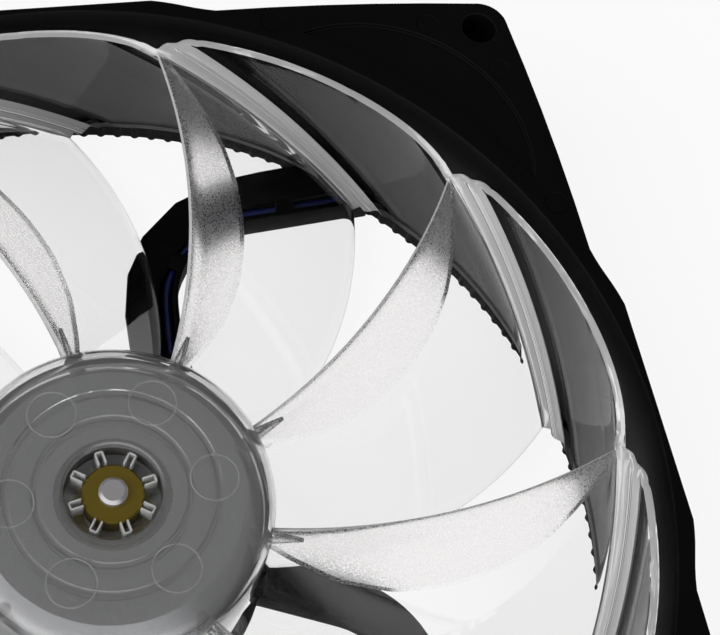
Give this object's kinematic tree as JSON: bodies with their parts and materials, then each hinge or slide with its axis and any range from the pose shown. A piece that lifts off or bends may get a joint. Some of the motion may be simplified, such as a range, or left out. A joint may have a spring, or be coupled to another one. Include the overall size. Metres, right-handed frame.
{
  "type": "case fan",
  "caption": "Square computer case fan with a clear looped-ring impeller in a black moulded frame, leads held in one strut and a coiled lead.",
  "frame": {"origin": "where the rotor's axis meets the exhaust-side face of the frame", "axes": "+Z along the rotor's axis towards the intake side, +X and +Y square to the frame's sides; the lead leaves over the +Y side"},
  "size_m": [0.12, 0.1685, 0.025],
  "materials": {
    "clear_moulding": "gloss",
    "black_moulding": "satin",
    "brass": "polished",
    "sintered_bronze": "matte",
    "white_nylon": "satin",
    "silicon_steel": "satin",
    "copper_wire": "gloss",
    "board_green": "satin",
    "chip_black": "satin",
    "chip_tan": "satin",
    "solder": "satin",
    "wire_blue": "satin",
    "wire_black": "satin",
    "cord_black": "satin",
    "connector_black": "satin",
    "yoke_steel": "satin",
    "magnet_rubber": "matte",
    "shaft_steel": "polished"
  },
  "bodies": {
    "frame": {"frame_housing": "black_moulding", "bearing_tube": "brass", "sleeve_bearing": "sintered_bronze", "oil_washer": "white_nylon", "tube_cap": "black_moulding", "thrust_pad": "white_nylon", "stator_core": "silicon_steel", "upper_bobbin": "white_nylon", "lower_bobbin": "white_nylon", "coil_1": "copper_wire", "coil_2": "copper_wire", "coil_3": "copper_wire", "coil_4": "copper_wire", "circuit_board": "board_green", "hall_sensor": "chip_black", "driver_chip": "chip_black", "board_capacitor": "chip_tan", "solder_joints": "solder", "winding_pins": "solder", "strut_wire_1": "wire_blue", "strut_wire_2": "wire_black", "strut_wire_3": "wire_black", "lead_collar": "cord_black", "lead_cable": "cord_black", "lead_coil": "cord_black", "lead_tail": "cord_black", "connector_shell": "connector_black", "connector_terminals": "solder"},
    "rotor": {"impeller": "clear_moulding", "rotor_yoke": "yoke_steel", "ring_magnet": "magnet_rubber", "hub_bush": "brass", "shaft": "shaft_steel", "retaining_clip": "yoke_steel"}
  },
  "joints": [
    {"name": "rotor_spin", "type": "hinge", "parent": "frame", "child": "rotor", "pos_m": [0, 0, 0.012], "axis": [0, 0, 1], "continuous": true}
  ]
}
